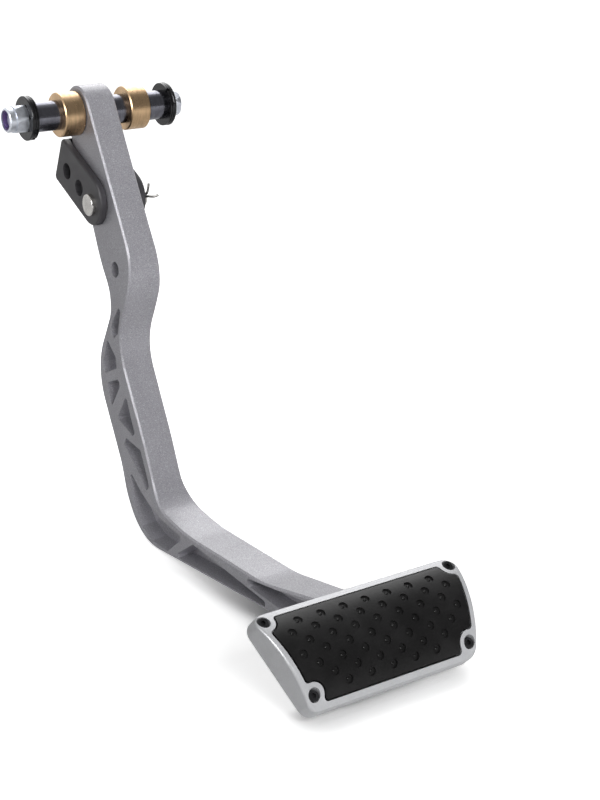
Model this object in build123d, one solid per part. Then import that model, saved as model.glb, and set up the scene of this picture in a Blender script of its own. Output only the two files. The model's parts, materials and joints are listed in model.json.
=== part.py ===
"""Hanging brake pedal: pivot hardware, arm, pushrod fork and rubber-faced pad.

Millimetres. X runs along the pivot to the driver's right, Y points away from the
driver, Z is up. The origin is on the pivot axis, midway through the arm.
"""
import os
from math import atan2, cos, hypot, radians, sin, sqrt, tan

from build123d import *

# ---- pivot hardware -------------------------------------------------------
BOLT_R = 4.76              # 3/8 in bolt
HEAD_FLATS = 14.3          # 9/16 in across flats
HEAD_TURN = 20.0           # the corner nearest the driver points up by this angle
NUT_FLATS = 15.0
NUT_TURN = 10.0
HEX_CONE_R = 8.9           # cone that rounds the corners of the hexagons
HEAD_CONE_DROP = 1.6       # how much that cone narrows over the bolt head
NUT_CONE_DROP = 1.2
CONE_RUN_UP = 2.0          # the cone starts this far outside the hexagon's face
BOLT_HEAD_THICK = 6.1
BOLT_END_X = -50.7
BOLT_END_CHAMFER = 0.8
NUT_HEX_LENGTH = 7.0
NUT_SEAT_R = 7.6           # round face that the nut bears on
NUT_SEAT_RUN = 2.0         # its chamfer reaches this far up the hexagon
NUT_SEAT_SLOPE = 1.73
NUT_COLLAR_LENGTH = 4.2
NUT_COLLAR_R = 7.0
NUT_COLLAR_EDGE_R = 1.0
INSERT_R = 6.1
INSERT_LENGTH = 2.6
INSERT_DEPTH = 0.7         # nylon insert below the end of the collar
INSERT_LIP = 0.35          # collar rolled inwards over the insert
SLEEVE_R = 8.5
SLEEVE_BORE_R = 4.85
SLEEVE_LEFT_X = -40.3
SLEEVE_RIGHT_X = 47.9
WASHER_R = 12.6
WASHER_THICK = 2.0
WASHER_CHAMFER = 0.4
RING_R = 12.5
RING_THICK = 2.0
RING_SPLIT = 1.6           # gap between the ring's two ends
RING_TURN_GAP = 0.4        # groove between its two turns
RING_TURN_DEPTH = 0.7
RING_NOTCH_DEPTH = 2.2
RING_LEFT_TURN = 150       # where the two ends meet, degrees about the pivot
RING_RIGHT_TURN = 40
BUSHING_R = 12.7
BUSHING_LENGTH = 12.7
BUSHING_LEFT_X = -22.0
BUSHING_RIGHT_X = 20.0
BUSHING_CHAMFER = 0.6
PIVOT_FIT = 0.05           # radial clearance of the arm on the sleeve

# ---- arm --------------------------------------------------------------------
HEAD_R = 15.5
UPPER_HALF_WIDTH = 9.0
LOWER_HALF_WIDTH = 11.9
# half width, z and corner radius down the arm, seen from the front
SIDE_PROFILE = [
    (UPPER_HALF_WIDTH, -68.0, 300.0),
    (11.05, -100.0, 200.0),
    (9.8, -135.0, 500.0),
    (9.5, -206.0, 60.0),
    (LOWER_HALF_WIDTH, -219.0, 60.0),
]
WEB_HALF = 2.6             # half of the wall left between opposite pockets
ARM_EDGE = 1.0
ARM_RIM_END_Y = -255.0     # the edges behind the pad stay sharp
POCKET_CORNER_R = 1.8
POCKET_DRAFT = 10.0        # degrees that a pocket's walls lean inwards
RAMP_POCKET = 6            # this pocket runs out in a ramp at its rear end
RAMP_FROM = (-107.0, -236.0)
RAMP_TO = (-134.0, -228.0)
ARM_END_LOW = -5.0         # lower end of the arm's joint with the foot, up the pad's slope
SIDE_HOLE_AT = (-42.0, -83.7)
SIDE_HOLE_R = 4.5
# each corner: y, z, corner radius
FRONT_EDGE = [
    (-63.5, -81.8, 34.5),
    (-41.3, -129.9, 31.8),
    (-68.0, -180.5, 118.3),
    (-83.7, -215.6, 25.9),
    (-116.6, -220.5, 148.1),
    (-199.4, -217.5, 90.9),
]
BACK_EDGE = [
    (-190.0, -232.5, 160.0),
    (-65.3, -244.4, 34.2),
    (-40.5, -207.7, 19.6),
    (-10.3, -150.3, 38.3),
    (-39.8, -103.1, 19.1),
    (-20.9, -80.7, 112.6),
]
POCKETS = [
    [(-50.7, -99.4), (-38.4, -113.6), (-34.2, -119.9), (-36.2, -127.3), (-42.7, -122.5)],
    [(-27.9, -128.5), (-38.8, -138.3), (-39.0, -144.5), (-22.4, -152.5), (-21.3, -144.0)],
    [(-25.0, -156.7), (-40.2, -150.2), (-41.8, -155.3), (-29.4, -172.3)],
    [(-48.8, -158.1), (-58.3, -179.2), (-55.6, -182.3), (-35.9, -176.2)],
    [(-46.4, -185.3), (-64.7, -187.4), (-68.4, -195.2), (-74.1, -207.6), (-71.8, -211.4), (-43.3, -190.6)],
    [(-48.8, -203.9), (-62.7, -211.8), (-77.5, -217.7), (-92.4, -221.4), (-116.6, -223.6),
     (-98.0, -238.8), (-80.1, -239.2), (-67.3, -234.4), (-58.3, -225.0)],
    [(-127.5, -223.1), (-138.4, -223.4), (-227.3, -228.0), (-105.2, -238.6)],
    [(-183.4, -220.8), (-240.0, -211.4), (-262.0, -213.0), (-262.0, -220.4), (-212.8, -225.0),
     (-187.4, -224.6)],
]

# ---- fork bracket -------------------------------------------------------------
PIN_AT = (-22.2, -49.0)
FORK_DIRECTION = (-0.905, -0.425)    # from the open holes towards the pin, in (y, z)
FORK_LEFT_X = -9.5         # inner faces of the two ears
FORK_RIGHT_X = 12.1
FORK_PLATE = 4.0
FORK_FRONT = 11.3          # outline measured from the pin, along and across the row of holes
FORK_BACK = -46.6
FORK_LOW = -13.6
FORK_HIGH = 15.0
FORK_NOSE_R = 14.0
FORK_HEEL_R = 3.0
FORK_EDGE_R = 1.4
FORK_WALL_TIP = 1.2        # thickness that the rear wall's top edge is bevelled to
FORK_WALL_BEVEL = 6.0      # that bevel starts here, so that the fork can swing up
FORK_FLOOR_FRONT = -20.0   # front end of the floor between the ears
FORK_HOLE_PITCH = 16.7
FORK_HOLE_R = 4.85
PUSHROD_HOLE_R = 4.8
PUSHROD_HOLE_UP = -2.0
PIN_R = 4.76
PIN_HEAD_R = 6.35
PIN_HEAD_THICK = 2.7
PIN_HEAD_EDGE_R = 0.7
PIN_END_X = 21.0
PIN_END_CHAMFER = 0.9
COTTER_X = 18.0
COTTER_RISE = 21.0         # the legs point forward and up by this angle
COTTER_WIRE_R = 0.7
COTTER_HOLE_R = 1.5
COTTER_LOOP_R = 2.0
COTTER_LEG = 3.4           # straight leg in front of the pin before it bends
COTTER_LEG_GAP = 0.06      # between the two legs
COTTER_NECK = 0.9          # from the pin to the start of the loop, and again along the loop
# each bent tail, in points forward of the leg's bend, up and to the left
COTTER_HIGH_TAIL = [(3.4, 5.6, -1.6), (2.4, 2.0, -0.8)]
COTTER_LOW_TAIL = [(3.8, -1.0, -2.8), (5.6, -0.6, -5.2)]

# ---- pad ----------------------------------------------------------------------
PAD_CENTRE = (0, -284.95, -210.6)
PAD_TILT = 45.0            # face above the horizontal
PAD_TOP = 24.8
PAD_BOTTOM = -27.6
PAD_HALF_WIDTH = 56.0      # half width at the centre line
PAD_FLARE = 0.226          # growth of the half width per mm upwards
PAD_CORNER_R = 6.5
PAD_CORNER_MIN_R = 2.5     # least corner radius of the outlines drawn inside the pad's
PAD_FACE_R = 42.0          # convex front, a cylinder along X
PAD_FACE_TOP = 5.5
PAD_FACE_SHIFT = -1.0
PAD_BACK = -12.0
PAD_WALL = 3.0
PAD_RIM_R = 1.5
RUBBER_GAP = 0.8
RUBBER_THICK = 4.0
RUBBER_PROUD = 0.2
SEAT_THICK = 2.5
BOSS_R = 5.6
RECESS_CORNER_R = 2.2      # corners of the recess beside the bosses
PLATE_THICK = 3.0
SCREW_HIGH = (55.5, 20.1)
SCREW_LOW = (46.4, -20.1)
SCREW_HEAD_R = 2.9
SCREW_HEAD_THICK = 2.6
SCREW_SHANK_R = 1.5
SCREW_END_INSET = 0.4      # shank ends this far inside the pad's back face
SCREW_SINK = 0.9
SCREW_HEAD_CHAMFER = 0.35
SCREW_SOCKET_FLATS = 2.5
SCREW_SOCKET_DEPTH = 1.5
COUNTERBORE_R = 3.3
DIMPLE_R = 2.3
DIMPLE_DEPTH = 0.9
NUB_R = 0.95               # ball of the raised dot in each dimple
NUB_HEIGHT = 0.7
DIMPLE_PITCH = 13.1
DIMPLE_ROW_ANGLE = 8.0
DIMPLE_FIRST_ANGLE = 23.6
DIMPLE_ROWS = [7, 8, 7, 8, 7, 6, 5]
FOOT_THICK = 5.0
FOOT_HALF_WIDTH = 24.0
FOOT_TOP = 24.0
FOOT_BOTTOM = -14.0
FOOT_CORNER_R = 6.0
FOOT_BOLT_X = 18.0
FOOT_BOLT_Y = 3.0
FOOT_BOLT_R = 3.0
FOOT_BOLT_FLATS = 10.0
FOOT_BOLT_HEAD = 4.0
FOOT_BOLT_PROUD = 1.0      # shank stands this far out of the back plate, inside the pad

pad_plane = Plane(
    origin=PAD_CENTRE,
    x_dir=(1, 0, 0),
    z_dir=(0, -sin(radians(PAD_TILT)), cos(radians(PAD_TILT))),
)


# ---- helpers ----------------------------------------------------------------
def rounded_outline(corners):
    """Closed wire through (a, b, radius) corners, each rounded by a tangent arc."""
    count = len(corners)
    pieces = []
    ends = []
    for i in range(count):
        a, b, radius = corners[i]
        before = corners[i - 1]
        after = corners[(i + 1) % count]
        to_before = (before[0] - a, before[1] - b)
        to_after = (after[0] - a, after[1] - b)
        len_before = hypot(*to_before)
        len_after = hypot(*to_after)
        unit_before = (to_before[0] / len_before, to_before[1] / len_before)
        unit_after = (to_after[0] / len_after, to_after[1] / len_after)
        dot = unit_before[0] * unit_after[0] + unit_before[1] * unit_after[1]
        half = atan2(sqrt(max(0.0, 1 - dot * dot)), dot) / 2
        if radius <= 0:
            ends.append(((a, b), (a, b)))
            continue
        radius = min(radius, 0.48 * min(len_before, len_after) * tan(half))
        reach = radius / tan(half)
        start = (a + unit_before[0] * reach, b + unit_before[1] * reach)
        finish = (a + unit_after[0] * reach, b + unit_after[1] * reach)
        middle_reach = radius / sin(half) - radius
        bisector = (unit_before[0] + unit_after[0], unit_before[1] + unit_after[1])
        size = hypot(*bisector)
        middle = (a + bisector[0] / size * middle_reach, b + bisector[1] / size * middle_reach)
        pieces.append(ThreePointArc(start, middle, finish))
        ends.append((start, finish))
    for i in range(count):
        leave = ends[i][1]
        arrive = ends[(i + 1) % count][0]
        if hypot(leave[0] - arrive[0], leave[1] - arrive[1]) > 1e-6:
            pieces.append(Line(leave, arrive))
    return Wire(pieces)


def rounded_face(corners):
    return make_face(rounded_outline(corners))


def side_prism(face, x_from, x_to):
    """Extrude a face drawn in (y, z) from one x to another."""
    placed = Plane(origin=(x_from, 0, 0), x_dir=(0, 1, 0), z_dir=(1, 0, 0)) * face
    return extrude(placed, x_to - x_from)


def tube_x(radius, x_from, x_to, centre=(0.0, 0.0)):
    """Cylinder along X through (y, z) = centre."""
    return side_prism(Pos(*centre) * Circle(radius), x_from, x_to)


def hex_x(flats, x_from, x_to, turn):
    """Hexagon along X, with one corner `turn` degrees above the driver's side."""
    return side_prism(RegularPolygon(flats / sqrt(3), 6, rotation=-turn), x_from, x_to)


def cone_cap_x(radius, x_from, x_to, shrink):
    """Short cone along X from the given radius down by shrink."""
    near = Plane(origin=(x_from, 0, 0), x_dir=(0, 1, 0), z_dir=(1, 0, 0)) * Circle(radius)
    far = Plane(origin=(x_to, 0, 0), x_dir=(0, 1, 0), z_dir=(1, 0, 0)) * Circle(radius - shrink)
    return loft([near, far])


def tangent_from(point, radius, side):
    """Point where the line from `point` touches the circle of that radius about the origin."""
    distance = hypot(*point)
    heading = atan2(point[1], point[0])
    swing = atan2(sqrt(distance * distance - radius * radius), radius)
    angle = heading + side * swing
    return (radius * cos(angle), radius * sin(angle))


def ring_edges(shape, x):
    """Circular edges of a turned part that lie in the plane at x."""
    return [e for e in shape.edges() if abs(e.center().X - x) < 1e-3 and e.geom_type == GeomType.CIRCLE]


# ---- pivot hardware -----------------------------------------------------------
def make_pivot_bolt():
    head_from = SLEEVE_RIGHT_X + WASHER_THICK
    head_to = head_from + BOLT_HEAD_THICK
    round_top = cone_cap_x(HEX_CONE_R, head_from - CONE_RUN_UP, head_to, HEAD_CONE_DROP)
    head = hex_x(HEAD_FLATS, head_from, head_to, HEAD_TURN) & round_top
    shank = tube_x(BOLT_R, BOLT_END_X, head_from)
    shank = chamfer(ring_edges(shank, BOLT_END_X), BOLT_END_CHAMFER)
    return head + shank


def nut_face_x():
    return SLEEVE_LEFT_X - WASHER_THICK


def make_lock_nut():
    right = nut_face_x()
    shoulder = right - NUT_HEX_LENGTH
    left = shoulder - NUT_COLLAR_LENGTH
    round_end = cone_cap_x(HEX_CONE_R, right + CONE_RUN_UP, shoulder, NUT_CONE_DROP)
    seat_wide = NUT_SEAT_R + NUT_SEAT_RUN * NUT_SEAT_SLOPE
    seat = cone_cap_x(seat_wide, right - NUT_SEAT_RUN, right, seat_wide - NUT_SEAT_R)
    seat = seat + tube_x(seat_wide, shoulder, right - NUT_SEAT_RUN)
    body = hex_x(NUT_FLATS, shoulder, right, NUT_TURN) & round_end & seat
    collar = tube_x(NUT_COLLAR_R, left, shoulder)
    collar = fillet(ring_edges(collar, left), NUT_COLLAR_EDGE_R)
    body = body + collar
    body = body - tube_x(BOLT_R, left - 1, right + 1)
    seat_from = left + INSERT_DEPTH
    body = body - tube_x(INSERT_R, seat_from, seat_from + INSERT_LENGTH)
    return body - tube_x(INSERT_R - INSERT_LIP, left - 1, seat_from)


def make_nylon_insert():
    seat_from = nut_face_x() - NUT_HEX_LENGTH - NUT_COLLAR_LENGTH + INSERT_DEPTH
    seat_to = seat_from + INSERT_LENGTH
    return tube_x(INSERT_R, seat_from, seat_to) - tube_x(BOLT_R, seat_from - 1, seat_to + 1)


def make_pivot_sleeve():
    tube = tube_x(SLEEVE_R, SLEEVE_LEFT_X, SLEEVE_RIGHT_X)
    return tube - tube_x(SLEEVE_BORE_R, SLEEVE_LEFT_X - 1, SLEEVE_RIGHT_X + 1)


def make_washer(x_from):
    disc = tube_x(WASHER_R, x_from, x_from + WASHER_THICK)
    disc = chamfer(ring_edges(disc, x_from) + ring_edges(disc, x_from + WASHER_THICK), WASHER_CHAMFER)
    return disc - tube_x(SLEEVE_BORE_R, x_from - 1, x_from + WASHER_THICK + 1)


def make_retaining_ring(x_from, split_angle):
    """Two-turn ring on the sleeve: a groove marks the turns and a notch their ends."""
    ring = tube_x(RING_R, x_from, x_from + RING_THICK)
    middle = x_from + RING_THICK / 2
    groove = tube_x(RING_R + 1, middle - RING_TURN_GAP / 2, middle + RING_TURN_GAP / 2)
    groove = groove - tube_x(RING_R - RING_TURN_DEPTH, x_from, x_from + RING_THICK)
    notch = Pos(middle, 0, RING_R) * Box(RING_THICK + 1, RING_SPLIT, 2 * RING_NOTCH_DEPTH)
    ring = ring - groove - notch.rotate(Axis.X, split_angle)
    return ring - tube_x(SLEEVE_R, x_from - 1, x_from + RING_THICK + 1)


def make_bushing(x_from):
    body = tube_x(BUSHING_R, x_from, x_from + BUSHING_LENGTH)
    body = chamfer(ring_edges(body, x_from) + ring_edges(body, x_from + BUSHING_LENGTH), BUSHING_CHAMFER)
    return body - tube_x(SLEEVE_R, x_from - 1, x_from + BUSHING_LENGTH + 1)


# ---- arm ------------------------------------------------------------------------
def pad_point(up, out):
    """(y, z) of a point on the pad's middle plane: `up` along the face, `out` from it."""
    lean = radians(PAD_TILT)
    y = PAD_CENTRE[1] + up * cos(lean) - out * sin(lean)
    z = PAD_CENTRE[2] + up * sin(lean) + out * cos(lean)
    return (y, z)


def arm_outline():
    front_touch = tangent_from(FRONT_EDGE[0][:2], HEAD_R, -1)
    back_touch = tangent_from(BACK_EDGE[-1][:2], HEAD_R, 1)
    end_high = pad_point(FOOT_TOP, PAD_BACK - FOOT_THICK)
    end_low = pad_point(ARM_END_LOW, PAD_BACK - FOOT_THICK)
    chain = [(front_touch[0], front_touch[1], 0)]
    chain += FRONT_EDGE
    chain += [(end_high[0], end_high[1], 0), (end_low[0], end_low[1], 0)]
    chain += BACK_EDGE
    chain += [(back_touch[0], back_touch[1], 0)]
    return rounded_face(chain) + Circle(HEAD_R)


def front_view_block():
    """Block with the arm's varying width, wide open to the front and the back."""
    top = 40.0
    bottom = -260.0
    right = [(UPPER_HALF_WIDTH, top, 0)] + SIDE_PROFILE + [(LOWER_HALF_WIDTH, bottom, 0)]
    left = [(-x, z, radius) for x, z, radius in reversed(right)]
    return extrude(Plane.XZ * rounded_face(right + left), 320.0, both=True)


def runs_level(edge):
    return edge.geom_type == GeomType.LINE and abs((edge @ 0).Z - (edge @ 1).Z) < 1e-6


def make_arm_foot():
    """Flange welded across the arm's end, against the pad's back plate."""
    plate = Box(2 * FOOT_HALF_WIDTH, FOOT_TOP - FOOT_BOTTOM, FOOT_THICK)
    plate = fillet(plate.edges().filter_by(Axis.Z), FOOT_CORNER_R)
    plate = Pos(0, (FOOT_TOP + FOOT_BOTTOM) / 2, PAD_BACK - FOOT_THICK / 2) * plate
    for x in (-FOOT_BOLT_X, FOOT_BOLT_X):
        plate = plate - Pos(x, FOOT_BOLT_Y, PAD_BACK) * Cylinder(FOOT_BOLT_R, 4 * FOOT_THICK)
    return pad_plane.location * plate


def make_pocket(corners):
    """Volume that one pocket takes out of the arm's right side, narrowing inwards."""
    face = rounded_face([(y, z, POCKET_CORNER_R) for y, z in corners])
    mouth = Plane(origin=(LOWER_HALF_WIDTH, 0, 0), x_dir=(0, 1, 0), z_dir=(1, 0, 0)) * face
    hollow = extrude(mouth, WEB_HALF - LOWER_HALF_WIDTH, taper=POCKET_DRAFT)
    return hollow + side_prism(face, LOWER_HALF_WIDTH, LOWER_HALF_WIDTH + 1)


def ramp_wedge():
    """Wedge that fills one end of a pocket, from the arm's face down to the pocket's floor."""
    run = hypot(RAMP_TO[0] - RAMP_FROM[0], RAMP_TO[1] - RAMP_FROM[1])
    along = ((RAMP_TO[0] - RAMP_FROM[0]) / run, (RAMP_TO[1] - RAMP_FROM[1]) / run)
    section = Plane(origin=(0, *RAMP_FROM), x_dir=(0, *along), z_dir=(0, -along[1], along[0]))
    height = LOWER_HALF_WIDTH
    triangle = Polyline((-run, 0), (-run, height + 2), (0, height + 2), (0, height), (run, WEB_HALF),
                        (run, 0), close=True)
    return extrude(section * make_face(triangle), run, both=True)


def make_brake_arm():
    reach = LOWER_HALF_WIDTH + 1
    arm = side_prism(arm_outline(), -reach, reach) & front_view_block()
    rims = [e for e in arm.edges() if abs(e.center().X) > UPPER_HALF_WIDTH - 0.01]
    long_rims = [e for e in rims if e.center().Y > ARM_RIM_END_Y and not runs_level(e)]
    arm = chamfer(long_rims, ARM_EDGE)
    for number, corners in enumerate(POCKETS):
        pocket = make_pocket(corners)
        if number == RAMP_POCKET:
            pocket = pocket - ramp_wedge()
        arm = arm - pocket - mirror(pocket, Plane.YZ)
    arm = arm - tube_x(SIDE_HOLE_R, -reach, reach, SIDE_HOLE_AT)
    arm = arm - tube_x(PIN_R + PIVOT_FIT, -reach, reach, PIN_AT)
    return arm - tube_x(SLEEVE_R + PIVOT_FIT, -reach, reach)


# ---- fork bracket -----------------------------------------------------------------
def fork_point(along, up):
    """(y, z) from distances along the row of holes and square to it, measured from the pin."""
    ay, az = FORK_DIRECTION
    return (PIN_AT[0] + along * ay + up * az, PIN_AT[1] + along * az - up * ay)


def fork_corner(along, up, radius):
    y, z = fork_point(along, up)
    return (y, z, radius)


def make_clevis_fork():
    left = FORK_LEFT_X - FORK_PLATE
    right = FORK_RIGHT_X + FORK_PLATE
    ear_outline = rounded_face([
        fork_corner(FORK_BACK, FORK_LOW, FORK_HEEL_R),
        fork_corner(FORK_FRONT, FORK_LOW, FORK_NOSE_R),
        fork_corner(FORK_FRONT, FORK_HIGH, FORK_NOSE_R),
        fork_corner(FORK_BACK, FORK_HIGH, FORK_HEEL_R),
    ])
    inside = rounded_face([
        fork_corner(FORK_BACK + FORK_PLATE, FORK_LOW + FORK_PLATE, 0),
        fork_corner(FORK_FLOOR_FRONT, FORK_LOW + FORK_PLATE, 0),
        fork_corner(FORK_FLOOR_FRONT, FORK_LOW - 5, 0),
        fork_corner(FORK_FRONT + 5, FORK_LOW - 5, 0),
        fork_corner(FORK_FRONT + 5, FORK_HIGH + 5, 0),
        fork_corner(FORK_BACK + FORK_WALL_TIP, FORK_HIGH + 5, 0),
        fork_corner(FORK_BACK + FORK_WALL_TIP, FORK_HIGH, 0),
        fork_corner(FORK_BACK + FORK_PLATE, FORK_WALL_BEVEL, 0),
    ])
    fork = side_prism(ear_outline, left, right)
    rims = [e for e in fork.edges() if min(abs(e.center().X - left), abs(e.center().X - right)) < 1e-3]
    fork = fillet(rims, FORK_EDGE_R)
    fork = fork - side_prism(inside, FORK_LEFT_X, FORK_RIGHT_X)
    for step in range(3):
        at = fork_point(-FORK_HOLE_PITCH * step, 0)
        radius = PIN_R if step == 0 else FORK_HOLE_R
        fork = fork - tube_x(radius, left - 1, right + 1, at)
    web_y, web_z = fork_point(FORK_BACK, PUSHROD_HOLE_UP)
    web_plane = Plane(
        origin=((left + right) / 2, web_y, web_z),
        x_dir=(1, 0, 0),
        z_dir=(0, FORK_DIRECTION[0], FORK_DIRECTION[1]),
    )
    return fork - web_plane * Cylinder(PUSHROD_HOLE_R, 4 * FORK_PLATE)


def cotter_direction():
    """Unit (y, z) from the cotter's loop towards its legs."""
    return (-cos(radians(COTTER_RISE)), sin(radians(COTTER_RISE)))


def make_clevis_pin():
    face_x = FORK_LEFT_X - FORK_PLATE
    head = tube_x(PIN_HEAD_R, face_x - PIN_HEAD_THICK, face_x, PIN_AT)
    head = fillet(ring_edges(head, face_x - PIN_HEAD_THICK), PIN_HEAD_EDGE_R)
    shank = tube_x(PIN_R, face_x, PIN_END_X, PIN_AT)
    shank = chamfer(ring_edges(shank, PIN_END_X), PIN_END_CHAMFER)
    dy, dz = cotter_direction()
    cotter_plane = Plane(origin=(COTTER_X, PIN_AT[0], PIN_AT[1]), x_dir=(1, 0, 0), z_dir=(0, dy, dz))
    return head + shank - cotter_plane * Cylinder(COTTER_HOLE_R, 4 * PIN_R)


def make_cotter_pin():
    """Wire bent into a loop; both legs pass through the pin and are splayed in front of it.

    Drawn with X along the legs, Y up and Z to the left of the pedal.
    """
    half = COTTER_WIRE_R + COTTER_LEG_GAP / 2
    neck = -PIN_R - COTTER_NECK
    loop_x = neck - COTTER_LOOP_R - COTTER_NECK
    turn = PIN_R + COTTER_LEG
    loop = Spline(
        (neck, half, 0), (loop_x, COTTER_LOOP_R, 0), (loop_x - COTTER_LOOP_R, 0, 0),
        (loop_x, -COTTER_LOOP_R, 0), (neck, -half, 0),
        tangents=[(-1, 0, 0), (1, 0, 0)],
    )
    high_leg = Line((turn, half, 0), (neck, half, 0))
    low_leg = Line((neck, -half, 0), (turn, -half, 0))
    high_bend = [(turn + x, half + y, z) for x, y, z in COTTER_HIGH_TAIL]
    low_bend = [(turn + x, y - half, z) for x, y, z in COTTER_LOW_TAIL]
    high_tail = Spline(*high_bend, (turn, half, 0), tangents=[(-0.2, -1, 0.2), (-1, 0, 0)])
    low_tail = Spline((turn, -half, 0), *low_bend, tangents=[(1, 0, 0), (0.7, 0.3, -1)])
    path = Wire([high_tail, high_leg, loop, low_leg, low_tail])
    start = Plane(origin=path @ 0, z_dir=path % 0)
    wire = sweep(start * Circle(COTTER_WIRE_R), path=path)
    dy, dz = cotter_direction()
    home = Plane(origin=(COTTER_X, PIN_AT[0], PIN_AT[1]), x_dir=(0, dy, dz), z_dir=(-1, 0, 0))
    return home.location * wire


# ---- pad, modelled in its own plane: X across, Y up the face, Z out of it ----------
def pad_half_width(up):
    return PAD_HALF_WIDTH + PAD_FLARE * up


def pad_face(inset):
    """Trapezoid outline of the pad, moved inwards by inset."""
    top = PAD_TOP - inset
    bottom = PAD_BOTTOM + inset
    slant = inset * sqrt(1 + PAD_FLARE * PAD_FLARE)
    radius = max(PAD_CORNER_R - inset, PAD_CORNER_MIN_R)
    return rounded_face([
        (pad_half_width(top) - slant, top, radius),
        (-pad_half_width(top) + slant, top, radius),
        (-pad_half_width(bottom) + slant, bottom, radius),
        (pad_half_width(bottom) - slant, bottom, radius),
    ])


def face_cylinder(radius):
    drum = Cylinder(radius, 200).rotate(Axis.Y, 90)
    return Pos(0, PAD_FACE_SHIFT, PAD_FACE_TOP - PAD_FACE_R) * drum


def face_height(up):
    """Height of the convex front above the pad plane."""
    return PAD_FACE_TOP - PAD_FACE_R + sqrt(PAD_FACE_R ** 2 - (up - PAD_FACE_SHIFT) ** 2)


def screw_places():
    places = []
    for side in (-1, 1):
        places.append((side * SCREW_HIGH[0], SCREW_HIGH[1]))
        places.append((side * SCREW_LOW[0], SCREW_LOW[1]))
    return places


def pad_prism(face, z_from, z_to):
    return extrude(Pos(0, 0, z_from) * face, z_to - z_from)


def recess_outline(gap):
    """Face of the rubber's recess, drawn in by gap: the corner bosses stand out of it."""
    face = pad_face(PAD_WALL + gap)
    for x, y in screw_places():
        face = face - Pos(x, y) * Circle(BOSS_R + gap)
    corners = []
    for vertex in face.vertices():
        reach = min(hypot(vertex.X - x, vertex.Y - y) for x, y in screw_places())
        if abs(reach - BOSS_R - gap) < 1e-3:
            corners.append(vertex)
    return fillet(corners, RECESS_CORNER_R - gap)


def make_pad_frame():
    front = face_cylinder(PAD_FACE_R)
    block = pad_prism(pad_face(0), PAD_BACK, 10) & front
    rims = [e for e in block.edges() if e.center().Z > PAD_BACK + 4 and e.length > 6]
    rims = [e for e in rims if e.geom_type != GeomType.LINE or abs(e.center().Y) > PAD_TOP - 1]
    block = fillet(rims, PAD_RIM_R)
    seat = face_cylinder(PAD_FACE_R - RUBBER_THICK)
    under = face_cylinder(PAD_FACE_R - RUBBER_THICK - SEAT_THICK)
    inside = pad_prism(recess_outline(0), PAD_BACK - 1, 10)
    block = block - (inside - seat) - (inside & under)
    block = block - pad_prism(pad_face(PAD_WALL), PAD_BACK - 1, PAD_BACK + PLATE_THICK)
    for x, y in screw_places():
        head_seat = face_height(y) - SCREW_SINK - SCREW_HEAD_THICK
        block = block - Pos(x, y, head_seat + 10) * Cylinder(COUNTERBORE_R, 20)
        block = block - Pos(x, y, 0) * Cylinder(SCREW_SHANK_R, 60)
    return pad_plane.location * block


def make_pad_rubber():
    block = pad_prism(recess_outline(RUBBER_GAP), PAD_BACK, 12)
    block = block & face_cylinder(PAD_FACE_R + RUBBER_PROUD)
    block = block - face_cylinder(PAD_FACE_R - RUBBER_THICK)
    outer = PAD_FACE_R + RUBBER_PROUD
    cuts = []
    nubs = []
    for row, count in enumerate(DIMPLE_ROWS):
        angle = DIMPLE_FIRST_ANGLE - row * DIMPLE_ROW_ANGLE
        for column in range(count):
            x = (column - (count - 1) / 2) * DIMPLE_PITCH
            hole = Pos(x, 0, outer) * Cylinder(DIMPLE_R, 2 * DIMPLE_DEPTH)
            nub = Pos(x, 0, outer - DIMPLE_DEPTH + NUB_HEIGHT - NUB_R) * Sphere(NUB_R)
            centre = Pos(0, PAD_FACE_SHIFT, PAD_FACE_TOP - PAD_FACE_R)
            cuts.append(centre * hole.rotate(Axis.X, -angle))
            nubs.append(centre * nub.rotate(Axis.X, -angle))
    block = block - cuts
    block = block + nubs
    return pad_plane.location * block


def make_pad_back_plate():
    plate = pad_prism(pad_face(PAD_WALL), PAD_BACK, PAD_BACK + PLATE_THICK)
    for x, y in screw_places():
        plate = plate - Pos(x, y, PAD_BACK) * Cylinder(SCREW_SHANK_R, 4 * PLATE_THICK)
    for x in (-FOOT_BOLT_X, FOOT_BOLT_X):
        plate = plate - Pos(x, FOOT_BOLT_Y, PAD_BACK) * Cylinder(FOOT_BOLT_R, 4 * PLATE_THICK)
    return pad_plane.location * plate


def make_pad_screw(x, y):
    top = face_height(y) - SCREW_SINK
    head = Pos(x, y, top - SCREW_HEAD_THICK / 2) * Cylinder(SCREW_HEAD_R, SCREW_HEAD_THICK)
    head = chamfer([e for e in head.edges() if abs(e.center().Z - top) < 1e-3], SCREW_HEAD_CHAMFER)
    hexagon = RegularPolygon(SCREW_SOCKET_FLATS / sqrt(3), 6)
    socket = pad_prism(Pos(x, y) * hexagon, top - SCREW_SOCKET_DEPTH, top + 1)
    bottom = PAD_BACK + SCREW_END_INSET
    under_head = top - SCREW_HEAD_THICK
    shank = Pos(x, y, (under_head + bottom) / 2) * Cylinder(SCREW_SHANK_R, under_head - bottom)
    return pad_plane.location * (head + shank - socket)


def make_foot_bolt(x):
    """Hex-head screw from behind the foot into the back plate."""
    low = PAD_BACK - FOOT_THICK
    hexagon = RegularPolygon(FOOT_BOLT_FLATS / sqrt(3), 6)
    head = pad_prism(Pos(x, FOOT_BOLT_Y) * hexagon, low - FOOT_BOLT_HEAD, low)
    high = PAD_BACK + PLATE_THICK + FOOT_BOLT_PROUD
    shank = pad_prism(Pos(x, FOOT_BOLT_Y) * Circle(FOOT_BOLT_R), low, high)
    return pad_plane.location * (head + shank)


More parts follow.
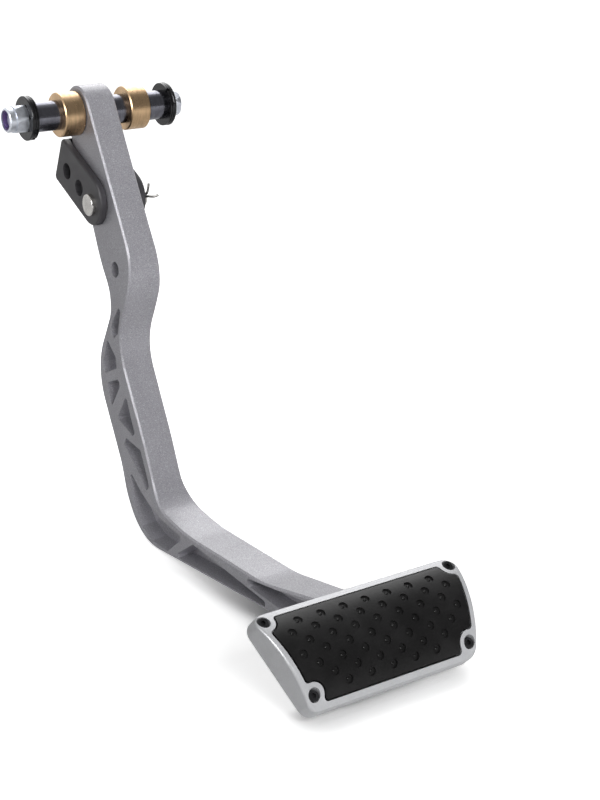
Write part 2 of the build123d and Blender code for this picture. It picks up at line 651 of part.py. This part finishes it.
# ---- all parts ----------------------------------------------------------------------
def make_all():
    high_x, high_y = SCREW_HIGH
    low_x, low_y = SCREW_LOW
    return {
        "pivot_bolt": make_pivot_bolt(),
        "lock_nut": make_lock_nut(),
        "nut_nylon_insert": make_nylon_insert(),
        "pivot_sleeve": make_pivot_sleeve(),
        "washer_left": make_washer(SLEEVE_LEFT_X - WASHER_THICK),
        "washer_right": make_washer(SLEEVE_RIGHT_X),
        "retaining_ring_left": make_retaining_ring(SLEEVE_LEFT_X, RING_LEFT_TURN),
        "retaining_ring_right": make_retaining_ring(SLEEVE_RIGHT_X - RING_THICK, RING_RIGHT_TURN),
        "bushing_left": make_bushing(BUSHING_LEFT_X),
        "bushing_right": make_bushing(BUSHING_RIGHT_X),
        "brake_arm": make_brake_arm(),
        "arm_foot": make_arm_foot(),
        "clevis_fork": make_clevis_fork(),
        "clevis_pin": make_clevis_pin(),
        "cotter_pin": make_cotter_pin(),
        "pad_frame": make_pad_frame(),
        "pad_rubber": make_pad_rubber(),
        "pad_back_plate": make_pad_back_plate(),
        "pad_screw_upper_left": make_pad_screw(-high_x, high_y),
        "pad_screw_upper_right": make_pad_screw(high_x, high_y),
        "pad_screw_lower_left": make_pad_screw(-low_x, low_y),
        "pad_screw_lower_right": make_pad_screw(low_x, low_y),
        "foot_bolt_left": make_foot_bolt(-FOOT_BOLT_X),
        "foot_bolt_right": make_foot_bolt(FOOT_BOLT_X),
    }


if __name__ == "__main__":
    os.makedirs("parts", exist_ok=True)
    for name, shape in make_all().items():
        export_step(shape, "parts/" + name + ".step")
        box = shape.bounding_box()
        print(f"{name:24s} volume {shape.volume:9.1f}  solids {len(shape.solids())}  "
              f"x {box.min.X:.1f}..{box.max.X:.1f}  y {box.min.Y:.1f}..{box.max.Y:.1f}  "
              f"z {box.min.Z:.1f}..{box.max.Z:.1f}")
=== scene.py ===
"""Dresses a packed hanging brake pedal with its coatings, metals and rubber."""
import json
from math import radians

import bmesh
import bpy
from mathutils import Matrix, Vector

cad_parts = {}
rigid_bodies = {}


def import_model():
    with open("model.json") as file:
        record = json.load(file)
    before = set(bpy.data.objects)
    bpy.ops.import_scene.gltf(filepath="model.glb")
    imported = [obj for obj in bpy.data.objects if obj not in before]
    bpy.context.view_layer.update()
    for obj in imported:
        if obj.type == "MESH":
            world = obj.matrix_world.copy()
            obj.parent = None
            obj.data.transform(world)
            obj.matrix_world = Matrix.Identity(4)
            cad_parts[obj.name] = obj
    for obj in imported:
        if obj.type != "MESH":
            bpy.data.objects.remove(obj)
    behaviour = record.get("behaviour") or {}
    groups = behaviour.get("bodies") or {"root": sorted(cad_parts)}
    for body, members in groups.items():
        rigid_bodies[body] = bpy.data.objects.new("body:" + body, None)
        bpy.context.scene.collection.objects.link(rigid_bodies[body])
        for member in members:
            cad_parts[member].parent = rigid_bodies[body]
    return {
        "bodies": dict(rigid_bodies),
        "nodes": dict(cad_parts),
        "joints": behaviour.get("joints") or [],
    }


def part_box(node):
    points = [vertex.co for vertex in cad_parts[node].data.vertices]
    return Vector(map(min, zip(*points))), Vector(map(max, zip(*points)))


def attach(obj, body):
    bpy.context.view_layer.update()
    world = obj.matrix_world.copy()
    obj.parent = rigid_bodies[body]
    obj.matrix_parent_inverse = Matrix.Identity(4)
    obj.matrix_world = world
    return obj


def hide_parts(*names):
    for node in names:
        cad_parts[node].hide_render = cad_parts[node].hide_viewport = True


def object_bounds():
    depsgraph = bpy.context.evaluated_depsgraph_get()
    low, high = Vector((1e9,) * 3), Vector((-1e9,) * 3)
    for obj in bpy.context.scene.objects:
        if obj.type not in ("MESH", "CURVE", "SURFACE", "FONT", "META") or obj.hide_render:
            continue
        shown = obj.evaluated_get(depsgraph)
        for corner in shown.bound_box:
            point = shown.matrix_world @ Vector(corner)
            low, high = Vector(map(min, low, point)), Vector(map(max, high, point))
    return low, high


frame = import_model()

bl_info = {
    "name": "Brake Pedal Finishes",
    "version": (1, 0, 0),
    "blender": (4, 5, 0),
    "location": "3D View > Sidebar > Pedal",
    "description": "Coats, plates and lights a hanging brake pedal",
    "category": "Object",
}

NODES = frame["nodes"]
CAD_BOX = [list(corner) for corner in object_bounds()]
LOWEST = CAD_BOX[0][2]

# how the eased copies are made
WELD = 1e-6
NEARLY_FLAT = radians(0.3)
SHARP = radians(28)
SHADED_SHARP = radians(40)
ROUND_STEPS = 3

# the floor, in metres: its half width, and its gap below the object's lowest point
FLOOR_HALF = 12.0
FLOOR_GAP = 0.0006
# where the pad comes nearer to the floor than the reach below, the glow fades between two openness values:
# a painted contact shadow
PAINTED_SHADOW_REACH = 0.016
PAINTED_SHADOW_FADE = (0.50, 0.92)
# distances from the pad between which the floor's painted shade near the pad gives way to white, and
# between which its painted dark reflection near the pad gives way to a glow in gloss
PAINTED_SHADE_TO_WHITE = (0.09, 0.24)
PAINTED_DARK_REFLECTION_REACH = (0.15, 2.5)
FAR_GLOSS = 0.9
# how far the arm turns, and how much lower than the pressed pedal the floor sinks
PEDAL_HINGE = next(joint for joint in frame["joints"] if joint["name"] == "pedal_hinge")
PEDAL_TRAVEL = radians(PEDAL_HINGE["range_deg"][1])
SINK_MARGIN = 0.006

# Every lamp is turned towards LAMP_AIM. A lamp's name, its place, the setting that holds its power,
# its width and height, and what it is kept out of, if anything.
LAMP_AIM = (0.0, -0.14, -0.12)
LAMPS = (
    ("key_lamp", (-0.10, -1.55, 0.62), "key_power", 0.8, 0.8, "visible_glossy"),
    ("back_lamp", (0.65, 0.61, 0.66), "back_power", 1.0, 0.9, None),
    ("glint_lamp", (0.66, 0.62, 0.67), "glint_power", 1.0, 0.9, "visible_diffuse"),
    ("side_lamp", (-0.9, -0.75, 0.55), "side_power", 0.25, 0.9, None),
    ("edge_lamp", (-0.92, -0.55, 0.46), "edge_power", 0.42, 0.7, "visible_diffuse"),
)
FILM_HEIGHT = 36.0


# ---- settings ---------------------------------------------------------------
class PedalCoatings(bpy.types.PropertyGroup):
    arm_colour: bpy.props.FloatVectorProperty(
        name="Arm coat", description="Ground colour of the arm's powder coat",
        subtype="COLOR", size=3, min=0, max=1, default=(0.335, 0.33, 0.36))
    flake_colour: bpy.props.FloatVectorProperty(
        name="Flakes", description="Colour of the bright flakes in the powder coat",
        subtype="COLOR", size=3, min=0, max=1, default=(0.56, 0.56, 0.60))
    flake_size: bpy.props.FloatProperty(
        name="Flake size", description="Typical distance between two flakes",
        unit="LENGTH", min=0.0002, max=0.004, default=0.0006)
    fork_colour: bpy.props.FloatVectorProperty(
        name="Fork coat", description="Colour of the fork's satin coat",
        subtype="COLOR", size=3, min=0, max=1, default=(0.045, 0.043, 0.048))
    plate_colour: bpy.props.FloatVectorProperty(
        name="Back plate", description="Colour of the plate behind the pad",
        subtype="COLOR", size=3, min=0, max=1, default=(0.10, 0.10, 0.105))
    edge_round: bpy.props.FloatProperty(
        name="Edge rounding", description="How far the coat rounds the arm's casting edges",
        unit="LENGTH", min=0.0, max=0.002, default=0.0009)


class PedalMetals(bpy.types.PropertyGroup):
    bronze_colour: bpy.props.FloatVectorProperty(
        name="Bronze", description="Colour of the turned bushings",
        subtype="COLOR", size=3, min=0, max=1, default=(0.56, 0.385, 0.225))
    zinc_colour: bpy.props.FloatVectorProperty(
        name="Zinc", description="Colour of the plated bolts and nut",
        subtype="COLOR", size=3, min=0, max=1, default=(0.70, 0.73, 0.79))
    gunmetal_colour: bpy.props.FloatVectorProperty(
        name="Gunmetal", description="Colour of the blackened sleeve",
        subtype="COLOR", size=3, min=0, max=1, default=(0.155, 0.155, 0.18))
    black_colour: bpy.props.FloatVectorProperty(
        name="Black steel", description="Colour of the blackened washers, rings and screws",
        subtype="COLOR", size=3, min=0, max=1, default=(0.030, 0.030, 0.032))
    nickel_colour: bpy.props.FloatVectorProperty(
        name="Nickel", description="Colour of the clevis pin",
        subtype="COLOR", size=3, min=0, max=1, default=(0.60, 0.585, 0.56))
    silver_colour: bpy.props.FloatVectorProperty(
        name="Satin silver", description="Colour of the pad's metal frame",
        subtype="COLOR", size=3, min=0, max=1, default=(0.49, 0.495, 0.51))
    frame_round: bpy.props.FloatProperty(
        name="Frame edges", description="How far the pad frame's sharp edges are eased",
        unit="LENGTH", min=0.0, max=0.001, default=0.0004)


class PedalSoftParts(bpy.types.PropertyGroup):
    rubber_colour: bpy.props.FloatVectorProperty(
        name="Rubber", description="Colour of the pad's rubber face",
        subtype="COLOR", size=3, min=0, max=1, default=(0.006, 0.0058, 0.006))
    nylon_colour: bpy.props.FloatVectorProperty(
        name="Nylon", description="Colour of the ring inside the lock nut",
        subtype="COLOR", size=3, min=0, max=1, default=(0.10, 0.055, 0.20))
    tread_round: bpy.props.FloatProperty(
        name="Tread edges", description="How far the rubber's moulded edges are rounded",
        unit="LENGTH", min=0.0, max=0.001, default=0.0004)


class PedalStudio(bpy.types.PropertyGroup):
    camera_at: bpy.props.FloatVectorProperty(
        name="Camera", description="Where the camera stands",
        subtype="XYZ", unit="LENGTH", size=3, default=(-0.4145, -0.8397, 0.1578))
    camera_along: bpy.props.FloatVectorProperty(
        name="Looks along", description="Direction that the camera looks in",
        subtype="DIRECTION", size=3, default=(0.5218, 0.7825, -0.3398))
    lens: bpy.props.FloatProperty(
        name="Lens", description="Focal length in millimetres on a 36 mm high frame",
        min=20, max=300, default=72.0)
    key_power: bpy.props.FloatProperty(
        name="Key lamp", description="Power of the large lamp in front and above",
        subtype="POWER", min=0, max=200, default=19.5)
    back_power: bpy.props.FloatProperty(
        name="Back lamp", description="Power of the broad shadowing lamp behind and above the pedal",
        subtype="POWER", min=0, max=200, default=3.0)
    glint_power: bpy.props.FloatProperty(
        name="Glint lamp", description="Power of the lamp that only glints on turned metal",
        subtype="POWER", min=0, max=200, default=6.0)
    side_power: bpy.props.FloatProperty(
        name="Side lamp", description="Power of the narrow lamp beside the camera",
        subtype="POWER", min=0, max=200, default=1.4)
    edge_power: bpy.props.FloatProperty(
        name="Edge lamp", description="Power of the strip that only glints on glossy edges",
        subtype="POWER", min=0, max=200, default=13.0)
    surround: bpy.props.FloatProperty(
        name="Surround", description="How strongly the room lights matt surfaces",
        min=0, max=2, default=0.16)
    dim_side: bpy.props.FloatProperty(
        name="Dim side", description="How bright the lamps' side of the room looks in gloss",
        min=0, max=1, default=0.24)
    # the floor's glow near the pad stays below white there as painted shade, and ambient occlusion cuts it
    # further into a painted contact shadow
    floor_glow: bpy.props.FloatProperty(
        name="Floor glow", description="Light that the floor adds near the pad, where the camera sees it",
        min=0, max=1, default=0.64)
    # the floor's glow in gloss near the pad, kept low as a painted dark reflection in the metal beside it
    floor_gloss: bpy.props.FloatProperty(
        name="Floor in gloss", description="Light that the floor adds where metal mirrors it",
        min=0, max=1, default=0.05)


# ---- node helpers -------------------------------------------------------------
class Finish:
    """One material while its nodes are being laid out. Relief distances are in metres."""

    def __init__(self, name):
        self.material = bpy.data.materials.new(name)
        self.material.use_nodes = True
        self.tree = self.material.node_tree
        self.shader = self.tree.nodes["Principled BSDF"]
        self.place = self.node("ShaderNodeTexCoord").outputs["Object"]

    def node(self, kind, **settings):
        made = self.tree.nodes.new(kind)
        for key, value in settings.items():
            setattr(made, key, value)
        return made

    def join(self, source, target):
        self.tree.links.new(source, target)

    def fixed(self, **values):
        """Numbers and colours that are the same all over the surface."""
        for key, value in values.items():
            self.shader.inputs[key.replace("_", " ")].default_value = value

    def stretched(self, scale):
        """The object's own coordinates, stretched by three factors."""
        mapping = self.node("ShaderNodeMapping")
        mapping.inputs["Scale"].default_value = scale
        self.join(self.place, mapping.inputs["Vector"])
        return mapping.outputs["Vector"]

    def noise(self, scale, detail=2.0, roughness=0.5, vector=None):
        made = self.node("ShaderNodeTexNoise")
        made.inputs["Scale"].default_value = scale
        made.inputs["Detail"].default_value = detail
        made.inputs["Roughness"].default_value = roughness
        self.join(vector or self.place, made.inputs["Vector"])
        return made.outputs["Fac"]

    def remap(self, value, low, high, to_low=0.0, to_high=1.0):
        made = self.node("ShaderNodeMapRange")
        for key, number in (("From Min", low), ("From Max", high), ("To Min", to_low), ("To Max", to_high)):
            made.inputs[key].default_value = number
        self.join(value, made.inputs["Value"])
        return made.outputs["Result"]

    def maths(self, what, first, second):
        made = self.node("ShaderNodeMath", operation=what)
        for socket, value in zip(made.inputs, (first, second)):
            if isinstance(value, (int, float)):
                socket.default_value = value
            else:
                self.join(value, socket)
        return made.outputs["Value"]

    def blend(self, share, first, second):
        """Colour between two colours, each a tuple or the output of a node."""
        made = self.node("ShaderNodeMix", data_type="RGBA")
        self.join(share, made.inputs["Factor"])
        for key, value in (("A", first), ("B", second)):
            socket = next(s for s in made.inputs if s.name == key and s.type == "RGBA")
            if isinstance(value, bpy.types.NodeSocket):
                self.join(value, socket)
            else:
                socket.default_value = (*value[:3], 1)
        return next(s for s in made.outputs if s.type == "RGBA")

    def colour(self, output):
        self.join(output, self.shader.inputs["Base Color"])

    def rough(self, output):
        self.join(output, self.shader.inputs["Roughness"])

    def relief(self, height, distance, strength=1.0):
        bump = self.node("ShaderNodeBump")
        bump.inputs["Distance"].default_value = distance
        bump.inputs["Strength"].default_value = strength
        self.join(height, bump.inputs["Height"])
        self.join(bump.outputs["Normal"], self.shader.inputs["Normal"])


def shade(colour, factor):
    """The colour made darker or lighter by a factor."""
    return tuple(min(1.0, channel * factor) for channel in colour)


# ---- finishes -------------------------------------------------------------------
def powder_coat(look):
    """Grey powder coat with fine bright flakes and a slight orange-peel relief."""
    finish = Finish("arm_powder_coat")
    finish.fixed(Metallic=0.25, Specular_IOR_Level=0.45, Coat_Weight=0.35, Coat_Roughness=0.15)
    grains = finish.noise(1.0 / look.flake_size, 2.0, 0.65)
    flakes = finish.remap(grains, 0.56, 0.72)
    pits = finish.remap(grains, 0.44, 0.30)
    clouds = finish.remap(finish.noise(55.0, 3.0), 0.3, 0.7)
    ground = finish.blend(clouds, shade(look.arm_colour, 0.95), shade(look.arm_colour, 1.05))
    ground = finish.blend(pits, ground, shade(look.arm_colour, 0.70))
    finish.colour(finish.blend(flakes, ground, look.flake_colour))
    finish.rough(finish.remap(grains, 0.3, 0.7, 0.60, 0.42))
    peel = finish.noise(0.45 / look.flake_size, 2.0)
    finish.relief(finish.maths("ADD", peel, finish.maths("MULTIPLY", grains, 0.5)), 0.00022, 0.55)
    return finish.material


def satin_coat(name, colour, roughness=0.48):
    """Even satin paint with small cloudy marks and a faint texture."""
    finish = Finish(name)
    finish.fixed(Specular_IOR_Level=0.45)
    clouds = finish.remap(finish.noise(90.0, 4.0, 0.6), 0.3, 0.7)
    finish.colour(finish.blend(clouds, shade(colour, 0.8), shade(colour, 1.25)))
    finish.rough(finish.remap(clouds, 0.0, 1.0, roughness - 0.08, roughness + 0.1))
    finish.relief(finish.noise(900.0, 2.0), 0.00006, 0.6)
    return finish.material


def turned_metal(name, colour, roughness, streak, wear=1.35):
    """Metal turned on a lathe about the pivot: fine rings, with rubbed and dull stretches."""
    finish = Finish(name)
    finish.fixed(Metallic=1.0)
    rings = finish.noise(1.0, 3.0, 0.7, finish.stretched((2600.0, 30.0, 30.0)))
    marks = finish.noise(1.0, 3.0, 0.6, finish.stretched((420.0, 160.0, 160.0)))
    tone = finish.remap(finish.maths("ADD", rings, finish.maths("MULTIPLY", marks, 0.8)), 0.7, 1.1)
    finish.colour(finish.blend(tone, shade(colour, 1.0 - streak), shade(colour, wear)))
    finish.rough(finish.remap(marks, 0.3, 0.7, roughness + 0.10, roughness - 0.05))
    finish.relief(rings, 0.00003, 0.7)
    return finish.material


def plated_metal(name, colour, roughness, metallic=1.0, mottle=0.15):
    """Plated or blackened steel with faint handling marks."""
    finish = Finish(name)
    finish.fixed(Metallic=metallic)
    marks = finish.noise(260.0, 4.0, 0.62)
    share = finish.remap(marks, 0.35, 0.68)
    finish.colour(finish.blend(share, shade(colour, 1.0 - mottle), shade(colour, 1.0 + mottle)))
    finish.rough(finish.remap(marks, 0.3, 0.7, roughness - 0.05, roughness + 0.09))
    finish.relief(finish.noise(1500.0, 2.0), 0.00003, 0.5)
    return finish.material


def satin_silver(metals):
    """Fine bead-blasted silver of the pad's frame."""
    finish = Finish("pad_satin_silver")
    finish.fixed(Metallic=0.22, Specular_IOR_Level=0.25)
    grain = finish.noise(1700.0, 2.0, 0.6)
    clouds = finish.noise(60.0, 3.0)
    share = finish.remap(finish.maths("ADD", grain, clouds), 0.75, 1.25)
    colour = metals.silver_colour
    finish.colour(finish.blend(share, shade(colour, 0.93), shade(colour, 1.07)))
    finish.rough(finish.remap(grain, 0.3, 0.7, 0.30, 0.40))
    finish.relief(grain, 0.00005, 0.6)
    return finish.material


def moulded_rubber(soft):
    """Near-black moulded rubber with a fine matt grain and faint dusty rubs."""
    finish = Finish("pad_moulded_rubber")
    finish.fixed(Specular_IOR_Level=0.30)
    dust = finish.remap(finish.noise(38.0, 5.0, 0.65), 0.42, 0.75)
    finish.colour(finish.blend(dust, soft.rubber_colour, shade(soft.rubber_colour, 2.2)))
    grain = finish.noise(1300.0, 3.0, 0.6)
    finish.rough(finish.remap(dust, 0.0, 1.0, 0.34, 0.50))
    finish.relief(grain, 0.00006, 0.7)
    return finish.material


def moulded_nylon(soft):
    """Slightly translucent nylon with a cloudy tint."""
    finish = Finish("nut_nylon")
    finish.fixed(Subsurface_Weight=0.1, Subsurface_Scale=0.001)
    clouds = finish.remap(finish.noise(500.0, 3.0), 0.3, 0.7)
    finish.colour(finish.blend(clouds, shade(soft.nylon_colour, 0.8), shade(soft.nylon_colour, 1.2)))
    finish.rough(finish.remap(clouds, 0.0, 1.0, 0.40, 0.55))
    finish.relief(clouds, 0.00004, 0.5)
    return finish.material


# ---- pieces ---------------------------------------------------------------------
def coat_node(node, material):
    """Gives a CAD node's own solid a finished material."""
    solid = NODES[node]
    for slot in solid.material_slots:
        slot.material = material


def rounded_copy(node, name, width):
    """A new piece from a node's faces, with every sharp edge rounded off."""
    mesh = bmesh.new()
    mesh.from_mesh(NODES[node].data)
    bmesh.ops.remove_doubles(mesh, verts=mesh.verts, dist=WELD)
    bmesh.ops.dissolve_limit(mesh, angle_limit=NEARLY_FLAT, verts=mesh.verts, edges=mesh.edges)
    sharp = [e for e in mesh.edges if len(e.link_faces) == 2 and e.calc_face_angle(0) > SHARP]
    bmesh.ops.bevel(mesh, geom=sharp, offset=width, offset_type="OFFSET", segments=ROUND_STEPS,
                    profile=0.5, affect="EDGES", clamp_overlap=True)
    corners = [v.co.copy() for v in mesh.verts]
    mesh.verts.index_update()
    faces = [[v.index for v in f.verts] for f in mesh.faces]
    mesh.free()
    data = bpy.data.meshes.new(name)
    data.from_pydata(corners, [], faces)
    data.shade_smooth()
    data.set_sharp_from_angle(angle=SHADED_SHARP)
    piece = bpy.data.objects.new(name, data)
    bpy.context.scene.collection.objects.link(piece)
    modifier = piece.modifiers.new("Even shading", "WEIGHTED_NORMAL")
    modifier.keep_sharp = True
    return piece


# ---- operators --------------------------------------------------------------------
class PEDAL_OT_arm(bpy.types.Operator):
    """Lay the speckled powder coat over the arm, rounding its casting edges"""
    bl_idname = "pedal.arm"
    bl_label = "Coat the Arm"

    def execute(self, context):
        look = context.scene.pedal_coatings
        coat = powder_coat(look)
        coat_node("arm_foot", coat)
        piece = rounded_copy("brake_arm", "coated_arm", look.edge_round)
        piece.data.materials.append(coat)
        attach(piece, "arm")
        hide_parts("brake_arm")
        return {"FINISHED"}


class PEDAL_OT_pivot(bpy.types.Operator):
    """Finish the pivot bolt, nut, sleeve, washers, rings and bushings"""
    bl_idname = "pedal.pivot"
    bl_label = "Finish the Pivot"

    def execute(self, context):
        metals = context.scene.pedal_metals
        soft = context.scene.pedal_soft
        zinc = plated_metal("zinc_plate", metals.zinc_colour, 0.38)
        for node in ("pivot_bolt", "lock_nut", "foot_bolt_left", "foot_bolt_right"):
            coat_node(node, zinc)
        coat_node("nut_nylon_insert", moulded_nylon(soft))
        coat_node("pivot_sleeve", turned_metal("sleeve_gunmetal", metals.gunmetal_colour, 0.17, 0.2, 1.2))
        bronze = turned_metal("bushing_bronze", metals.bronze_colour, 0.30, 0.16, 1.15)
        coat_node("bushing_left", bronze)
        coat_node("bushing_right", bronze)
        black = plated_metal("washer_black", metals.black_colour, 0.20, 0.7, 0.3)
        for node in ("washer_left", "washer_right", "retaining_ring_left", "retaining_ring_right"):
            coat_node(node, black)
        return {"FINISHED"}


class PEDAL_OT_fork(bpy.types.Operator):
    """Finish the pushrod fork, its clevis pin and the cotter"""
    bl_idname = "pedal.fork"
    bl_label = "Finish the Fork"

    def execute(self, context):
        look = context.scene.pedal_coatings
        metals = context.scene.pedal_metals
        coat_node("clevis_fork", satin_coat("fork_satin_black", look.fork_colour))
        coat_node("clevis_pin", plated_metal("pin_nickel", metals.nickel_colour, 0.20))
        coat_node("cotter_pin", plated_metal("cotter_steel", shade(metals.nickel_colour, 0.45), 0.32))
        return {"FINISHED"}


class PEDAL_OT_pad(bpy.types.Operator):
    """Finish the pad's silver frame, rubber face, back plate and screws"""
    bl_idname = "pedal.pad"
    bl_label = "Finish the Pad"

    def execute(self, context):
        look = context.scene.pedal_coatings
        metals = context.scene.pedal_metals
        soft = context.scene.pedal_soft
        rim = rounded_copy("pad_frame", "eased_pad_frame", metals.frame_round)
        rim.data.materials.append(satin_silver(metals))
        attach(rim, "arm")
        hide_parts("pad_frame")
        tread = rounded_copy("pad_rubber", "soft_edged_tread", soft.tread_round)
        tread.data.materials.append(moulded_rubber(soft))
        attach(tread, "arm")
        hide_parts("pad_rubber")
        coat_node("pad_back_plate", satin_coat("back_plate_satin", look.plate_colour))
        screw = plated_metal("screw_black", shade(metals.black_colour, 1.6), 0.36, 0.8, 0.3)
        for row in ("upper", "lower"):
            for side in ("left", "right"):
                coat_node(f"pad_screw_{row}_{side}", screw)
        return {"FINISHED"}


def area_lamp(name, at, power, width, height):
    """A rectangular lamp turned towards the pedal."""
    lamp = bpy.data.lights.new(name, "AREA")
    lamp.shape = "RECTANGLE"
    lamp.size = width
    lamp.size_y = height
    lamp.energy = power
    holder = bpy.data.objects.new(name, lamp)
    holder.location = at
    holder.rotation_euler = (Vector(LAMP_AIM) - Vector(at)).to_track_quat("-Z", "Y").to_euler()
    bpy.context.scene.collection.objects.link(holder)
    return holder


class Room(Finish):
    """The same node helpers for the world and for what only some rays see."""

    def __init__(self, tree):
        self.tree = tree

    def seen_by_camera(self):
        return self.node("ShaderNodeLightPath").outputs["Is Camera Ray"]

    def seen_in_gloss(self):
        path = self.node("ShaderNodeLightPath")
        return self.maths("MAXIMUM", path.outputs["Is Glossy Ray"], path.outputs["Is Transmission Ray"])


def sink_with_pedal(floor):
    """Lowers the floor as the arm turns, so that a pressed pedal stays above it."""
    turn = Matrix.Rotation(PEDAL_TRAVEL, 3, "X")
    moving = [NODES[node] for node in ("brake_arm", "pad_frame", "pad_back_plate")]
    pressed = min((turn @ corner.co).z for solid in moving for corner in solid.data.vertices)
    sink = floor.constraints.new("TRANSFORM")
    sink.target = frame["bodies"]["arm"]
    sink.map_from = "ROTATION"
    sink.from_max_x_rot = PEDAL_TRAVEL
    sink.map_to = "LOCATION"
    sink.map_to_z_from = "X"
    sink.to_max_z = pressed - LOWEST - SINK_MARGIN


def build_floor(glow, gloss_glow, under_pad):
    """Large pale floor: white to the camera, except near the pad, where its glow is lowered as painted
    shade and cut further by ambient occlusion as a painted contact shadow, so the lamps' shadows show there
    too; in gloss it stays dark near the pad, a painted dark reflection.
    """
    data = bpy.data.meshes.new("floor")
    z = LOWEST - FLOOR_GAP
    corners = [(x * FLOOR_HALF, y * FLOOR_HALF, z) for x, y in ((-1, -1), (1, -1), (1, 1), (-1, 1))]
    data.from_pydata(corners, [], [(0, 1, 2, 3)])
    floor = bpy.data.objects.new("floor", data)
    bpy.context.scene.collection.objects.link(floor)
    finish = Finish("floor_white")
    finish.fixed(Base_Color=(0.86, 0.86, 0.86, 1), Roughness=0.9, Specular_IOR_Level=0.1,
                 Emission_Color=(1, 1, 1, 1))
    room = Room(finish.tree)
    reach = room.node("ShaderNodeVectorMath", operation="DISTANCE")
    room.join(finish.place, reach.inputs[0])
    reach.inputs[1].default_value = under_pad
    reach = reach.outputs["Value"]
    # painted shadow: ambient occlusion cuts the floor's glow where the pedal is close above it
    painted_shadow_occlusion = room.node("ShaderNodeAmbientOcclusion", samples=8)
    painted_shadow_occlusion.inputs["Distance"].default_value = PAINTED_SHADOW_REACH
    glow_with_painted_shadow = room.maths("MULTIPLY", room.remap(painted_shadow_occlusion.outputs["AO"], *PAINTED_SHADOW_FADE), glow)
    # painted shade: within these distances of the pad the floor glows less than the white beyond
    far = room.remap(reach, *PAINTED_SHADE_TO_WHITE)
    to_camera = room.maths("MULTIPLY", room.seen_by_camera(), room.maths("MAXIMUM", glow_with_painted_shadow, far))
    # painted dark reflection: in gloss the floor glows little near the pad and more further away
    gloss_glow_painted_dark_near_pad = room.remap(reach, *PAINTED_DARK_REFLECTION_REACH, gloss_glow, FAR_GLOSS)
    to_gloss = room.maths("MULTIPLY", room.seen_in_gloss(), gloss_glow_painted_dark_near_pad)
    finish.join(finish.maths("ADD", to_camera, to_gloss), finish.shader.inputs["Emission Strength"])
    data.materials.append(finish.material)
    sink_with_pedal(floor)


def build_world(surround, dim_side):
    """White room: plain white behind the pedal, and dimmer in gloss on the camera's side."""
    world = bpy.data.worlds.new("white_room")
    world.use_nodes = True
    bpy.context.scene.world = world
    room = Room(world.node_tree)
    background = room.tree.nodes["Background"]
    background.inputs["Color"].default_value = (1, 1, 1, 1)
    heading = room.node("ShaderNodeSeparateXYZ")
    room.join(room.node("ShaderNodeTexCoord").outputs["Generated"], heading.inputs[0])
    in_gloss = room.remap(heading.outputs["Y"], -0.25, 0.55, dim_side, 1.0)
    matt = room.maths("SUBTRACT", 1.0, room.seen_in_gloss())
    strength = room.maths("ADD", room.maths("MULTIPLY", matt, surround),
                          room.maths("MULTIPLY", room.seen_in_gloss(), in_gloss))
    strength = room.maths("MAXIMUM", strength, room.seen_by_camera())
    room.join(strength, background.inputs["Strength"])


def add_camera(scene, studio):
    """The camera, at the place and with the lens that the settings give."""
    camera = bpy.data.cameras.new("camera")
    camera.sensor_fit = "VERTICAL"
    camera.sensor_height = FILM_HEIGHT
    camera.lens = studio.lens
    camera.clip_start = 0.01
    holder = bpy.data.objects.new("camera", camera)
    holder.location = studio.camera_at
    holder.rotation_euler = Vector(studio.camera_along).to_track_quat("-Z", "Y").to_euler()
    scene.collection.objects.link(holder)
    scene.camera = holder


class PEDAL_OT_studio(bpy.types.Operator):
    """Set up the white floor, the room, the soft lamps and the camera"""
    bl_idname = "pedal.studio"
    bl_label = "Build the Studio"

    def execute(self, context):
        studio = context.scene.pedal_studio
        low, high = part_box("pad_frame")
        under_pad = ((low[0] + high[0]) / 2, (low[1] + high[1]) / 2, LOWEST)
        build_floor(studio.floor_glow, studio.floor_gloss, under_pad)
        build_world(studio.surround, studio.dim_side)
        for name, at, setting, width, height, kept_out_of in LAMPS:
            lamp = area_lamp(name, at, getattr(studio, setting), width, height)
            if kept_out_of:
                setattr(lamp, kept_out_of, False)
        add_camera(context.scene, studio)
        context.scene.view_settings.view_transform = "Standard"
        return {"FINISHED"}


OPERATORS = (PEDAL_OT_arm, PEDAL_OT_pivot, PEDAL_OT_fork, PEDAL_OT_pad, PEDAL_OT_studio)
SETTINGS = {
    "pedal_coatings": PedalCoatings,
    "pedal_metals": PedalMetals,
    "pedal_soft": PedalSoftParts,
    "pedal_studio": PedalStudio,
}


class PEDAL_PT_finishes(bpy.types.Panel):
    """Lists the pedal's finishing steps and their settings"""
    bl_idname = "PEDAL_PT_finishes"
    bl_label = "Brake Pedal"
    bl_space_type = "VIEW_3D"
    bl_region_type = "UI"
    bl_category = "Pedal"

    def draw(self, context):
        for operator in OPERATORS:
            self.layout.operator(operator.bl_idname)
        for name, group in SETTINGS.items():
            box = self.layout.box()
            for key in group.__annotations__:
                box.prop(getattr(context.scene, name), key)


def register():
    for name, group in SETTINGS.items():
        bpy.utils.register_class(group)
        setattr(bpy.types.Scene, name, bpy.props.PointerProperty(type=group))
    for operator in OPERATORS:
        bpy.utils.register_class(operator)
    bpy.utils.register_class(PEDAL_PT_finishes)


def unregister():
    bpy.utils.unregister_class(PEDAL_PT_finishes)
    for operator in reversed(OPERATORS):
        bpy.utils.unregister_class(operator)
    for name, group in reversed(SETTINGS.items()):
        delattr(bpy.types.Scene, name)
        bpy.utils.unregister_class(group)


def main():
    register()
    bpy.ops.pedal.arm()
    bpy.ops.pedal.pivot()
    bpy.ops.pedal.fork()
    bpy.ops.pedal.pad()
    bpy.ops.pedal.studio()
    bpy.context.view_layer.update()


if __name__ == "__main__":
    main()
